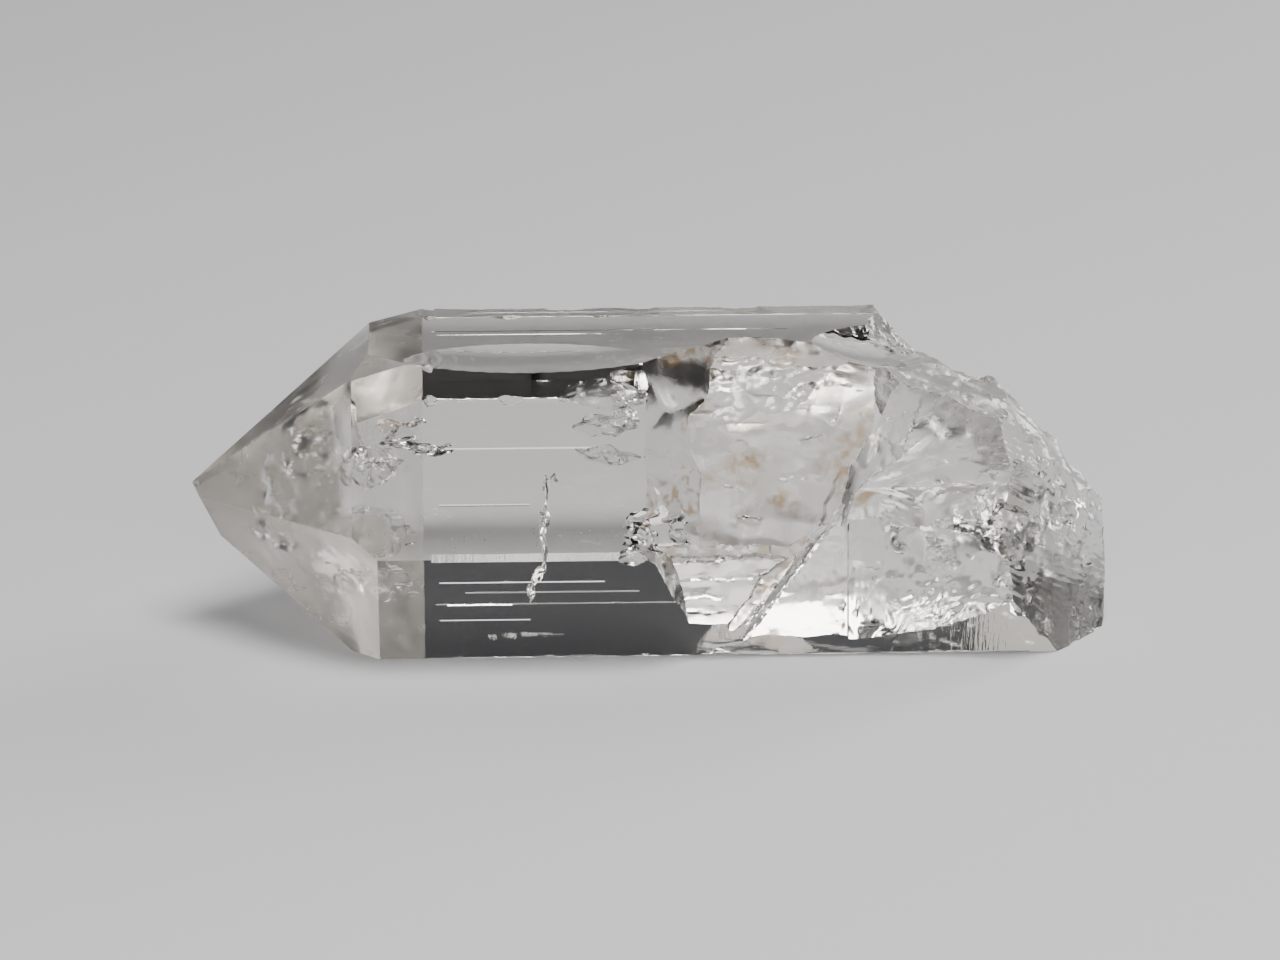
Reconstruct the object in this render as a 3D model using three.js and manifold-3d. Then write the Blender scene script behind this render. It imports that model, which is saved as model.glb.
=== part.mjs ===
// A quartz crystal lying on one of its six long faces, with a six-sided point at one end
// and a broken root at the other. It grew as one piece, so it is one solid.
//
// Millimetres, +Z up. While it is shaped, x runs along the crystal from its tip, y runs from
// its lower front edge to its back, and z runs up from the face that it lies on. At the end
// it is moved so that the origin is under the middle of its box.
//
// The crystal starts as a block. Each natural face takes off what lies beyond a plane, and
// each break takes off what lies over a shaped sheet.

import * as THREE from 'three';
import { ConvexGeometry } from 'three/addons/geometries/ConvexGeometry.js';
import { mergeVertices } from 'three/addons/utils/BufferGeometryUtils.js';
import Module from 'manifold-3d';

const wasm = await Module();
wasm.setup();

const DEGREE = Math.PI / 180;

// ---- The natural faces ----

const LENGTH = 36.1;
const STOCK = 60;

// The long axis runs through the tip at this place.
const AXIS_Y = 3.52;
const AXIS_Z = 5.81;
const TIP_X = -0.31;

// Quartz: neighbouring long faces meet at 120 degrees, and the faces of the point lean in
// to the axis by 38.2 degrees. Turn is a face's direction round the axis, from +y to +z.
// Reach is its distance from the axis. Some faces of the point stand further out.
const POINT_SLOPE = 38.2;
const LONG_FACES = [
  { turn: -90, reach: 5.81, pointShift: -0.9 },
  { turn: 210, reach: 5.94, pointShift: 0 },
  { turn: 150, reach: 5.18, pointShift: 0 },
  { turn: 90, reach: 5.93, pointShift: -0.3 },
  { turn: 30, reach: 7.3, pointShift: 0 },
  { turn: -30, reach: 7.3, pointShift: 0 },
];

// Small extra facets: two that blunt the tip, one on the corner where the point meets the
// upper front edge, and the end of the root.
const SMALL_FACETS = [
  { at: [0, 3.6, 6.03], out: [-0.889, -0.141, -0.435] },
  { at: [0.1, 2.9, 6.2], out: [-0.82, -0.5, 0.28] },
  { at: [6.61, 2.48, 11.74], out: [-0.21, -0.257, 0.943] },
  { at: [LENGTH, 6, 1], out: [1, 0, 0] },
];

// ---- Directions that the breaks are laid out in ----

const ALONG = [1, 0, 0];
const ACROSS = [0, 1, 0];
const FRONT_OUT = [0, -0.866, 0.5];
const FRONT_UP = [0, 0.5, 0.866];
const FRONT_EDGE = [0, -2.9, 5.05];

// ---- The breaks ----

// Broken sheets are worked out on squares of this size.
const CELL = 0.4;

// Waves have a length and a depth. Flakes have a spacing, a radius and an unevenness.
const HOLLOW_FLOOR = {
  depth: 1.5,
  tread: { up: 0.55, along: 0.18, rise: 0.12 },
  waves: { length: 3.4, depth: 0.05, seed: 0.7 },
};
const HOLLOW_LEDGE = {
  at: [20.4, 4.1, 11.64],
  slope: 34,
  leftCurve: 0.14,
  rightCurve: 0.028,
  flakes: { spacing: 1.3, radius: 3.4, uneven: 0.05, seed: 1.3 },
};
const HOLLOW_LOWER = {
  at: [23, -1, 3.4],
  out: [0, -1, 0.02],
  tread: { up: 0.8, along: -0.05, rise: 0.1 },
  waves: { length: 2.4, depth: 0.05, seed: 4.2 },
};
const UPPER_LEFT_WALL = {
  left: 17.4,
  up: 4,
  lean: 52,
  flakes: { spacing: 1.7, radius: 4.5, uneven: 0.04, seed: 2.1 },
};
const LOWER_LEFT_WALL = {
  left: 17.7,
  up: 0,
  lean: 24,
  flakes: { spacing: 1.7, radius: 4.5, uneven: 0.04, seed: 3.4 },
};

// Where the hollow ends on the right: x on the front edge, and how far it leans to the right
// going up the face.
const UPPER_RIGHT_END = { right: 23.9, lean: 30 };
const LOWER_RIGHT_END = { right: 25, lean: 0 };

// The scoop's bowl faces as the upper front face does. A steep wall, which leans along a
// line, parts it from the hollow, and rings run round the place where the break began.
const SCOOP_BOWL = {
  x: 28,
  up: 3.5,
  depth: 2.6,
  curve: { right: 0.05, left: 0.02, above: 0.168, below: 0.03 },
  wall: { line: -2.5, lean: 0.36, width: 0.35 },
  rings: { u: -3.2, v: -0.6, length: 1.6, depth: 0.05 },
};
// Below the bowl is a steep sheet with a wall of its own and one upright step.
const SCOOP_LOWER = {
  at: [26, -0.38, 2.5],
  out: [0, -0.993, 0.115],
  curve: 0.037,
  wall: { line: -4, lean: 0.74, width: 0.7 },
  step: { from: -0.55, to: -0.3, depth: 0.14 },
  waves: { length: 2.2, depth: 0.05, seed: 2.9 },
};
const WALL_HEIGHT = 1.1;
const WALL_BRINK_SLOPE = 2;

// The broken root. Over the top face a steep end drops to a shelf, and from the shelf a long
// slope runs down to the end. Both fall away to the front and back of a low crest, and a
// corner is broken off in front.
const ROOT_FLAKES = { spacing: 2.1, radius: 3.2, uneven: 0.12 };
const ROOT_SINK = 0.2;
const ROOT_STEEP = { at: [27.7, 8.5, 10.8], out: [0.82, -0.08, 0.56], seed: 1.1 };
const ROOT_SHELVES = [
  { at: [29.3, 5, 10.45], out: [0.36, -0.05, 0.93], seed: 2.3 },
  { at: [29.3, 5, 10.45], out: [0.33, 0.38, 0.86], seed: 3.1 },
];
const ROOT_SLOPES = [
  { at: [33.5, 5, 7.7], out: [0.78, -0.05, 0.62], seed: 5.2 },
  { at: [33.5, 5, 7.7], out: [0.7, 0.36, 0.61], seed: 6.4 },
  { at: [35.1, 1.8, 0.3], out: [0.8, -0.58, 0.15], seed: 7.9 },
];

// Round shallow chips: a long one off the upper front edge, one at the end of the top face,
// and nicks along the long edges.
const CHIPS = [
  { at: [13.1, 1.7, 11.74], out: [0, -0.07, 0.998], half: [4.7, 2.3], depth: 0.34 },
  { at: [27.2, 3.6, 11.74], out: [0.1, -0.12, 0.98], half: [3.6, 2.6], depth: 0.9 },
  { at: [14.9, 8.5, 11.74], out: [0, 0.5, 0.866], half: [0.8, 0.8], depth: 0.22 },
  { at: [17.6, 8.5, 11.74], out: [0.1, 0.5, 0.866], half: [0.55, 0.55], depth: 0.16 },
  { at: [21.8, 8.5, 11.74], out: [-0.1, 0.5, 0.866], half: [0.7, 0.7], depth: 0.14 },
  { at: [16.9, -2.9, 5.05], out: [0.2, -1, 0], half: [0.55, 0.55], depth: 0.3 },
  { at: [20.5, 0, 0], out: [0, -0.5, -0.866], half: [0.6, 0.6], depth: 0.12 },
  { at: [12.4, 11.95, 5.81], out: [0, 1, 0], half: [0.7, 0.7], depth: 0.16 },
];
const CHIP_CELLS = 14;
const CHIP_BLOCK = { reach: 2.4, deep: 4 };

// Three-cornered flakes off the front face, strung along a crack.
const CRACK_FLAKES = [
  { x: 13.8, up: 3.05, size: 0.85, lean: 20 },
  { x: 13.7, up: 1.75, size: 0.5, lean: 150 },
  { x: 13.65, up: 1.15, size: 0.6, lean: 70 },
];

// ---- From three.js geometry to a solid and back ----

function toSolid(geometry) {
  geometry.deleteAttribute('normal');
  geometry.deleteAttribute('uv');
  const merged = mergeVertices(geometry, 1e-5);
  return new wasm.Manifold(new wasm.Mesh({
    numProp: 3,
    vertProperties: merged.attributes.position.array,
    triVerts: Uint32Array.from(merged.index.array),
  }));
}

function toGeometry(solid) {
  const mesh = solid.getMesh();
  const geometry = new THREE.BufferGeometry();
  geometry.setAttribute('position', new THREE.BufferAttribute(mesh.vertProperties, 3));
  geometry.setIndex(new THREE.BufferAttribute(mesh.triVerts, 1));
  geometry.computeVertexNormals();
  return geometry;
}

// ---- What a broken surface is made of ----

// Waves that cross each other at set angles, each set shorter and shallower than the last.
function waves(u, v, { length, depth, seed }) {
  const sets = 3;
  const finer = 1.9;
  let height = 0;
  for (let set = 0; set < sets; set += 1) {
    const shrink = finer ** set;
    const turn = seed + 2.4 * set;
    const p = (u * Math.cos(turn) + v * Math.sin(turn)) * shrink / length;
    const q = (v * Math.cos(turn) - u * Math.sin(turn)) * shrink / length;
    const bent = 2 * Math.PI * p + 1.9 * Math.sin(3.1 * q + seed) + seed;
    height += depth / shrink * Math.sin(bent) * Math.cos(5.2 * q + 1.7 * seed);
  }
  return height;
}

// Shallow round dishes that meet in sharp ridges, as where flakes have come off. The dishes
// lie on a spiral of golden-angle turns, each pushed a little off its place, and the lowest
// dish counts.
function flaked(u, v, { spacing, radius, uneven, seed }) {
  const dishes = 150;
  const goldenAngle = 2.39996;
  const spread = 0.56 * spacing;
  const push = 0.3 * spacing;
  let lowest = Infinity;
  for (let i = 1; i < dishes; i += 1) {
    const far = spread * Math.sqrt(i);
    const turn = goldenAngle * i + seed;
    const du = u - far * Math.cos(turn) - push * Math.sin(7 * i + seed);
    const dv = v - far * Math.sin(turn) - push * Math.cos(5 * i + seed);
    const floor = uneven * Math.sin(3.7 * i + 2 * seed);
    const curve = radius * (1 + 0.5 * Math.sin(2.3 * i + seed));
    lowest = Math.min(lowest, floor + (du * du + dv * dv) / (2 * curve));
  }
  return lowest;
}

// Flat treads with soft risers between them.
function terraces(u, v, { up, along, rise }) {
  const step = up * v + along * u;
  return rise * (step - Math.sin(2 * Math.PI * step) / (2 * Math.PI));
}

// 0 up to low, 1 from high on, and straight between them.
function between(value, low, high) {
  return Math.min(Math.max((value - low) / (high - low), 0), 1);
}

// A wall along a slanting line: nothing on its right, and rising on past its top to the left.
function wallAlong(u, v, { line, lean, width }) {
  const right = u - line - lean * v;
  return WALL_HEIGHT * (1 - between(right, 0, width)) + WALL_BRINK_SLOPE * Math.max(0, -right);
}

// ---- Where the sheets lie ----

// What lies beyond a sheet: a block over the sheet through `at` that faces `out`. Its lower
// side is raised by height(u, v), with u along `along` and v across it.
function beyond(place, height = () => 0) {
  const { at, out, along = ALONG, wide = 2 * STOCK, high = 2 * STOCK, deep = STOCK } = place;
  const { cell = wide } = place;
  const box = new THREE.BoxGeometry(wide, high, deep, Math.round(wide / cell), Math.ceil(high / cell), 1);
  const corner = box.attributes.position;
  for (let i = 0; i < corner.count; i += 1) {
    const lift = corner.getZ(i) < 0 ? height(corner.getX(i), corner.getY(i)) : deep;
    corner.setZ(i, lift);
  }
  const n = new THREE.Vector3(...out).normalize();
  const u = new THREE.Vector3(...along);
  u.addScaledVector(n, -u.dot(n)).normalize();
  const v = new THREE.Vector3().crossVectors(n, u);
  box.applyMatrix4(new THREE.Matrix4().makeBasis(u, v, n).setPosition(...at));
  return toSolid(box);
}

// A point on the upper front face: `up` from the front edge, and `depth` under the face.
function onFront(x, up, depth) {
  return new THREE.Vector3(x, 0, 0)
    .add(new THREE.Vector3(...FRONT_EDGE))
    .addScaledVector(new THREE.Vector3(...FRONT_UP), up)
    .addScaledVector(new THREE.Vector3(...FRONT_OUT), -depth)
    .toArray();
}

function leftOf({ right, lean }) {
  const out = [
    -Math.cos(lean * DEGREE),
    Math.sin(lean * DEGREE) * FRONT_UP[1],
    Math.sin(lean * DEGREE) * FRONT_UP[2],
  ];
  return beyond({ at: onFront(right, 0, 0), out, along: ACROSS });
}

// ---- The crystal with all its faces whole ----

function faceNormal(turn, slope) {
  return [
    -Math.sin(slope * DEGREE),
    Math.cos(slope * DEGREE) * Math.cos(turn * DEGREE),
    Math.cos(slope * DEGREE) * Math.sin(turn * DEGREE),
  ];
}

function wholeCrystal() {
  let crystal = toSolid(new THREE.BoxGeometry(STOCK, STOCK, STOCK));
  crystal = crystal.translate([LENGTH / 2, AXIS_Y, AXIS_Z]);
  for (const { turn, reach, pointShift } of LONG_FACES) {
    const out = faceNormal(turn, 0);
    const at = [LENGTH / 2, AXIS_Y + reach * out[1], AXIS_Z + reach * out[2]];
    const tip = [TIP_X + pointShift, AXIS_Y, AXIS_Z];
    crystal = crystal.subtract(beyond({ at, out }));
    crystal = crystal.subtract(beyond({ at: tip, out: faceNormal(turn, POINT_SLOPE) }));
  }
  for (const facet of SMALL_FACETS) {
    crystal = crystal.subtract(beyond({ along: ACROSS, ...facet }));
  }
  return crystal;
}

// ---- The hollow in the upper front face ----

function hollowFloor() {
  const { depth, tread, waves: swell } = HOLLOW_FLOOR;
  const sheet = (u, v) => terraces(u, v, tread) + waves(u, v, swell);
  const place = { at: onFront(23, 4, depth), out: FRONT_OUT, wide: 20, high: 16, deep: 12 };
  return beyond({ ...place, cell: CELL }, sheet);
}

function hollowLedge() {
  const { at, slope, leftCurve, rightCurve, flakes } = HOLLOW_LEDGE;
  const out = [0, -Math.sin(slope * DEGREE), Math.cos(slope * DEGREE)];
  const sheet = (u, v) => (u < 0 ? leftCurve : rightCurve) * u * u + flaked(u, v, flakes);
  return beyond({ at, out, wide: 22, high: 12, deep: 12, cell: CELL }, sheet);
}

function hollowLower() {
  const { at, out, tread, waves: swell } = HOLLOW_LOWER;
  const sheet = (u, v) => terraces(u, v, tread) + waves(u, v, swell);
  return beyond({ at, out, wide: 20, high: 12, deep: 8, cell: CELL }, sheet);
}

function leftWall({ left, up, lean, flakes }) {
  const out = [
    Math.cos(lean * DEGREE),
    Math.sin(lean * DEGREE) * FRONT_OUT[1],
    Math.sin(lean * DEGREE) * FRONT_OUT[2],
  ];
  const sheet = (u, v) => flaked(u, v, flakes);
  const place = { at: onFront(left, up, 0), out, along: FRONT_UP, wide: 18, high: 36, deep: 20 };
  return beyond({ ...place, cell: CELL }, sheet);
}

function hollow() {
  const upper = hollowFloor()
    .add(hollowLedge())
    .intersect(leftWall(UPPER_LEFT_WALL))
    .intersect(leftOf(UPPER_RIGHT_END));
  const lower = hollowLower()
    .intersect(leftWall(LOWER_LEFT_WALL))
    .intersect(leftOf(LOWER_RIGHT_END));
  return upper.add(lower);
}

// ---- The shell-shaped scoop to the right of the hollow ----

function scoopBowl() {
  const { x, up, depth, curve, wall, rings } = SCOOP_BOWL;
  const sheet = (u, v) => {
    const sides = (u > 0 ? curve.right : curve.left) * u * u;
    const ends = (v > 0 ? curve.above : curve.below) * v * v;
    const ring = Math.hypot(u - rings.u, v - rings.v);
    const ripple = rings.depth * Math.sin(2 * Math.PI * ring / rings.length);
    return sides + ends + wallAlong(u, v, wall) + ripple;
  };
  const place = { at: onFront(x, up, depth), out: FRONT_OUT, wide: 20, high: 16, deep: 14 };
  return beyond({ ...place, cell: CELL }, sheet);
}

function scoopLower() {
  const { at, out, curve, wall, step, waves: swell } = SCOOP_LOWER;
  const sheet = (u, v) => {
    const side = u > 0 ? curve * u * u : 0;
    const drop = step.depth * between(u, step.from, step.to);
    return side + wallAlong(u, v, wall) - drop + waves(u, v, swell);
  };
  return beyond({ at, out, wide: 24, high: 14, deep: 10, cell: CELL }, sheet);
}

// ---- The broken root ----

function rootBreak({ at, out, seed }) {
  const sheet = (u, v) => flaked(u, v, { ...ROOT_FLAKES, seed }) - ROOT_SINK;
  return beyond({ at, out, along: ACROSS, wide: 26, high: 26, deep: 16, cell: CELL }, sheet);
}

function brokenRoot() {
  const [frontShelf, backShelf] = ROOT_SHELVES.map(rootBreak);
  const top = frontShelf.add(backShelf).intersect(rootBreak(ROOT_STEEP));
  return ROOT_SLOPES.map(rootBreak).reduce((all, piece) => all.add(piece), top);
}

// ---- Chips and flakes ----

function chip({ at, out, half, depth }) {
  const dish = (u, v) => depth * ((u / half[0]) ** 2 + (v / half[1]) ** 2 - 1);
  const [wide, high] = half.map((length) => CHIP_BLOCK.reach * length);
  const deep = CHIP_BLOCK.deep * depth;
  return beyond({ at, out, wide, high, deep, cell: wide / CHIP_CELLS }, dish);
}

// A three-sided piece of stone whose deep corner lies under the face.
function crackFlake({ x, up, size, lean }) {
  const cos = size * Math.cos(lean * DEGREE);
  const sin = size * Math.sin(lean * DEGREE);
  const corner = (along, across, depth) => new THREE.Vector3(
    ...onFront(x + along * cos - across * sin, up + along * sin + across * cos, depth * size),
  );
  return toSolid(new ConvexGeometry([
    corner(-0.5, 0, -0.2),
    corner(0.5, 0.35, -0.2),
    corner(0.5, -0.35, -0.2),
    corner(0.3, 0.05, 0.4),
  ]));
}

// ---- The finished crystal ----

function brokenCrystal() {
  const breaks = [
    hollow(),
    scoopBowl(),
    scoopLower(),
    brokenRoot(),
    ...CHIPS.map(chip),
    ...CRACK_FLAKES.map(crackFlake),
  ];
  return breaks.reduce((crystal, piece) => crystal.subtract(piece), wholeCrystal());
}

const quartz = new THREE.MeshStandardMaterial({
  color: 0xd9d3c8,
  roughness: 0.08,
  metalness: 0,
});

const geometry = toGeometry(brokenCrystal());
geometry.computeBoundingBox();
const { min, max } = geometry.boundingBox;

const crystal = new THREE.Mesh(geometry, quartz);
crystal.name = 'crystal';
crystal.position.set(-(min.x + max.x) / 2, -(min.y + max.y) / 2, -min.z);

const part = new THREE.Group();
part.add(crystal);

export default part;
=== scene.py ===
"""A clear quartz crystal with a broken root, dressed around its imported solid.

The crystal is one piece. Its natural faces are planes and its breaks are sheets worked out
as functions of two parameters, u along the sheet and v across it. Each sheet is the lower
side of a block, and the block is cut off the crystal, so faces meet in true sharp edges.

Lengths in this script are millimetres in the crystal's own layout: x runs from its tip, y
from its lower front edge to its back, z up from the face it lies on. The finished mesh is
moved and scaled into the frame at the end.
"""

import math

import bmesh
import bpy
import numpy as np
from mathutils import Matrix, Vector


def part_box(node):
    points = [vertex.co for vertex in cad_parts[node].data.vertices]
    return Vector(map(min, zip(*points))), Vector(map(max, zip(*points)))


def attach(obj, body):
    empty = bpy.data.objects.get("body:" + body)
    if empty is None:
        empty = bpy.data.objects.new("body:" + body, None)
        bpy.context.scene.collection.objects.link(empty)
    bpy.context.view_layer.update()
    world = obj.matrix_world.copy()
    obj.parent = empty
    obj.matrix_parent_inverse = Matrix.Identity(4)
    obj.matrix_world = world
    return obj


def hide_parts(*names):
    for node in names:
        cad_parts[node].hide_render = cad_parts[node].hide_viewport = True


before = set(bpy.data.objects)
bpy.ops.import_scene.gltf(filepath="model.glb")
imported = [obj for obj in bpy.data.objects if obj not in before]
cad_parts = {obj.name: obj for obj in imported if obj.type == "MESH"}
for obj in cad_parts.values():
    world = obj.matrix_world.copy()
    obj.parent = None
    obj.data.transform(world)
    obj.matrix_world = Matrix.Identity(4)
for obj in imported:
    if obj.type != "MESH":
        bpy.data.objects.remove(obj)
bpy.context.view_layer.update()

# One millimetre in the frame's metres.
MM = 0.001

# The golden angle in radians: turned by it each time, dishes never line up. DISHES is how
# many a flaked sheet has.
GOLDEN_ANGLE = 2.39996
DISHES = 149

# ---- The natural faces ----

# The crystal's length, the side of the block it is cut from, its long axis and its tip.
LENGTH = 36.1
STOCK = 60.0
AXIS_Y = 3.52
AXIS_Z = 5.81
TIP_X = -0.31

# Each long face has a turn round the long axis in degrees, a reach from the axis, and a
# shift along x for its face of the point. Those lean by the slope that quartz always has.
POINT_SLOPE = 38.2
BACK_REACH = 7.3
LONG_FACES = (
    (270, 5.81, -0.9),
    (210, 5.94, 0.0),
    (150, 5.18, 0.0),
    (90, 5.93, -0.3),
    (30, BACK_REACH, 0.0),
    (-30, BACK_REACH, 0.0),
)

# Three facets by the point, and the end of the block: a place on each, and the way it faces.
SMALL_FACETS = (
    ((0.0, 3.6, 6.03), (-0.889, -0.141, -0.435)),
    ((0.1, 2.9, 6.2), (-0.82, -0.5, 0.28)),
    ((6.61, 2.48, 11.74), (-0.21, -0.257, 0.943)),
    ((LENGTH, 6.0, 1.0), (1.0, 0.0, 0.0)),
)

# The frame's origin, in the layout: the crystal's far end and its back edge fix it.
back_edge = AXIS_Y + BACK_REACH / math.cos(math.radians(30))
cad_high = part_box("crystal")[1]
ORIGIN = np.array([LENGTH - cad_high[0] / MM, back_edge - cad_high[1] / MM, 0.0])

# ---- Directions ----

ALONG = (1.0, 0.0, 0.0)
ACROSS = (0.0, 1.0, 0.0)

# The upper front face: the way it faces, the way up it, and the long edge at its foot.
FRONT_OUT = np.array([0.0, -0.866, 0.5])
FRONT_UP = np.array([0.0, 0.5, 0.866])
FRONT_EDGE = np.array([0.0, -2.9, 5.05])

# What a face of the mesh is.
NATURAL, POINT, BROKEN = 0, 1, 2

# How frosted the faces of the point are, from 0 to 1.
POINT_FROST = 0.22

# Edges that turn by more degrees than this stay sharp on the breaks.
RIDGE_ANGLE = 24

# Broken sheets are worked out on squares of one of these sizes.
FINE = 0.076
MIDDLING = 0.1
COARSE = 0.12

# The first seed of each kind of gap.
LEAF_SEED, GAP_SEED, FRONT_SEED, CLUSTER_SEED, HEALED_SEED = 60, 70, 90, 100, 200


# ---- Patterns of two parameters ----

# Heights and lengths are millimetres. A pattern's seed sets it apart from the others.

def between(value, low, high):
    """0 up to low, 1 from high on, straight between them."""
    return np.clip((value - low) / (high - low), 0.0, 1.0)


def soft(value, low, high):
    """0 up to low, 1 from high on, with a smooth S between them."""
    t = between(value, low, high)
    return t * t * (3.0 - 2.0 * t)


def hashed(i, j, seed):
    """A fixed value from 0 to 1 for each pair of whole numbers: the digits far down in a
    sine, which follow no visible order."""
    return np.modf(np.abs(np.sin(i * 127.1 + j * 311.7 + seed * 74.7)) * 43758.5453)[0]


def cloud(u, v, size, seed):
    """Smooth bumps from -1 to 1: a fixed value at each corner of a square lattice, blended
    inside each square."""
    p, q = u / size, v / size
    i, j = np.floor(p), np.floor(q)
    a, b = p - i, q - j
    a, b = a * a * (3 - 2 * a), b * b * (3 - 2 * b)
    low = hashed(i, j, seed) * (1 - a) + hashed(i + 1, j, seed) * a
    high = hashed(i, j + 1, seed) * (1 - a) + hashed(i + 1, j + 1, seed) * a
    return 2 * (low * (1 - b) + high * b) - 1


def clouds(u, v, size, seed, layers=3):
    """Clouds of halving size and height on top of each other."""
    total = 0.0
    for layer in range(layers):
        total = total + cloud(u + 9.1 * layer, v - 4.7 * layer, size / 2**layer, seed + layer) / 2**layer
    return total


def patches(u, v, size, seed, low, high):
    """Patches of 1 on 0 with soft rims: clouds, cut off at low and high."""
    return between(clouds(u, v, size, seed), low, high)


def waves(u, v, length, depth, seed):
    """Waves that cross each other at set angles, each set shorter and shallower than the last."""
    height = 0.0
    for number in range(3):
        shrink = 1.9**number
        turn = seed + 2.4 * number
        p = (u * math.cos(turn) + v * math.sin(turn)) * shrink / length
        q = (v * math.cos(turn) - u * math.sin(turn)) * shrink / length
        bent = 2 * math.pi * p + 1.9 * np.sin(3.1 * q + seed) + seed
        height = height + depth / shrink * np.sin(bent) * np.cos(5.2 * q + 1.7 * seed)
    return height


def flaked(u, v, spacing, radius, uneven, seed):
    """Shallow round dishes on a golden-angle spiral; the lowest dish counts, so they meet in
    sharp ridges."""
    lowest = np.full(u.shape, np.inf)
    for i in range(1, DISHES + 1):
        far = 0.56 * spacing * math.sqrt(i)
        turn = GOLDEN_ANGLE * i + seed
        du = u - far * math.cos(turn) - 0.3 * spacing * math.sin(7 * i + seed)
        dv = v - far * math.sin(turn) - 0.3 * spacing * math.cos(5 * i + seed)
        floor = uneven * math.sin(3.7 * i + 2 * seed)
        curve = radius * (1 + 0.5 * math.sin(2.3 * i + seed))
        lowest = np.minimum(lowest, floor + (du * du + dv * dv) / (2 * curve))
    return lowest


def scales(u, v, size, radius, tilt, seed):
    """Small tilted dishes on a shaken square lattice; the lowest counts, so they meet in
    ridges and each catches the light its own way."""
    p, q = u / size, v / size
    i, j = np.floor(p), np.floor(q)
    lowest = np.full(u.shape, np.inf)
    for di in (-2, -1, 0, 1, 2):
        for dj in (-2, -1, 0, 1, 2):
            a, b = i + di, j + dj
            du = u - (a + hashed(a, b, seed)) * size
            dv = v - (b + hashed(a, b, seed + 1)) * size
            lean_u = tilt * (2 * hashed(a, b, seed + 2) - 1)
            lean_v = tilt * (2 * hashed(a, b, seed + 3) - 1)
            dish = lean_u * du + lean_v * dv + (du * du + dv * dv) / (2 * radius)
            lowest = np.minimum(lowest, dish)
    return lowest


def shards(u, v, size, tilt, seed, stretch=1.0, turn=0):
    """Nearly flat facets with straight crests: wide dishes on a small lattice, drawn out by
    `stretch` along the direction `turn`."""
    c, s = math.cos(math.radians(turn)), math.sin(math.radians(turn))
    p, q = (u * c + v * s) / stretch, v * c - u * s
    return scales(p, q, size, 3 * size, tilt, seed)


def terraces(u, v, up, along, rise):
    """Flat treads with soft risers between them: a slope less its own sine."""
    step = up * v + along * u
    return rise * (step - np.sin(2 * math.pi * step) / (2 * math.pi))


def ribs(u, v, at, length, depth):
    """Rings round the place where a break began: a sine of the distance to the power 0.85,
    so they widen slowly on the way out."""
    far = np.hypot(u - at[0], v - at[1])
    return depth * np.sin(2 * math.pi * far**0.85 / length)


def hackles(u, v, at, count, depth, seed, reach):
    """Ridges that fan out from a place: sharp-topped waves of the angle, bent and broken by
    clouds, that start at nothing and grow to full depth at `reach`."""
    du, dv = u - at[0], v - at[1]
    far = np.hypot(du, dv)
    angle = np.arctan2(dv, du) + 0.16 * clouds(u, v, 1.7, seed)
    ridge = np.abs(np.sin(0.5 * count * angle + 1.5 * cloud(u, v, 2.3, seed + 5)))
    broken = between(cloud(u, v, 1.2, seed + 8), -0.5, 0.3)
    return depth * ridge * soft(far, 0.15 * reach, reach) * broken


def fan(u, v, at, creases):
    """Flat folds that fan out from a place: the slope changes in straight lines between the
    given directions, so each direction is a crease. creases holds (degrees, mm per mm)."""
    du, dv = u - at[0], v - at[1]
    angle = np.degrees(np.arctan2(dv, du))
    turns, rises = zip(*creases)
    return np.hypot(du, dv) * np.interp(angle, turns, rises)


def lip(u, v, at, length, turn, rise, back):
    """A short low ledge: it rises steeply on one side of a line, sinks back slowly on the
    other and dies out at both ends. The line wanders a little."""
    c, s = math.cos(math.radians(turn)), math.sin(math.radians(turn))
    p = (u - at[0]) * c + (v - at[1]) * s
    q = (v - at[1]) * c - (u - at[0]) * s + 0.09 * clouds(p, p * 0 + at[1], 0.8, at[0])
    ends = soft(length / 2 - np.abs(p), 0.0, 0.3 * length)
    return rise * ends * np.where(q > 0, np.exp(-q / back), 1 - soft(-q, 0.0, 0.1))


def wall_along(u, v, line, lean, width):
    """A wall along a slanting line: 1.1 up over the `width` on the line's right, then 2 up
    for each 1 to its left. Also gives 1 on the wall and 0 off it."""
    right = u - line - lean * v
    height = 1.1 * (1 - between(right, 0, width)) + 2.0 * np.maximum(0, -right)
    return height, between(right, -0.3, 0.0) * between(-right, -width - 0.1, -width)


def beside(u, v, line, lean, width, seed):
    """1 in a ragged band on the left of a slanting line, 0 elsewhere."""
    left = line + lean * v - u + 0.1 * cloud(u, v, 0.5, seed)
    ragged = width * (0.75 + 0.35 * clouds(u * 0, v, 1.1, seed + 1))
    return between(left, -0.1, 0.05) * between(ragged - left, 0.0, 0.12)


# ---- Blocks, and cutting them off ----

def basis(out, along):
    """Three square unit directions: u, v and n, with n along `out`."""
    n = np.asarray(out, float)
    n = n / np.linalg.norm(n)
    u = np.asarray(along, float)
    u = u - n * u.dot(n)
    u = u / np.linalg.norm(u)
    return u, np.cross(n, u), n


def in_scene(name, data):
    """A new object that holds the data, in the scene."""
    thing = bpy.data.objects.new(name, data)
    bpy.context.scene.collection.objects.link(thing)
    return thing


def new_object(name, points, faces, kind, masks=None):
    """A mesh object with a kind for its faces and the masks `frost` and `stain_and_shade` on its points:
    real stain, and on the hollow's ledge and floor also painted shade.
    """
    mesh = bpy.data.meshes.new(name)
    mesh.from_pydata(points.tolist(), [], faces)
    mesh.update()
    kinds = mesh.attributes.new("kind", "INT", "FACE")
    kinds.data.foreach_set("value", np.full(len(mesh.polygons), kind, np.int32))
    for mask in ("frost", "stain_and_shade"):
        values = np.zeros(len(points), np.float32)
        if masks and mask in masks:
            found = masks[mask].reshape(-1)
            values[: len(found)] = found
        mesh.attributes.new(mask, "FLOAT", "POINT").data.foreach_set("value", values)
    return in_scene(name, mesh)


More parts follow.
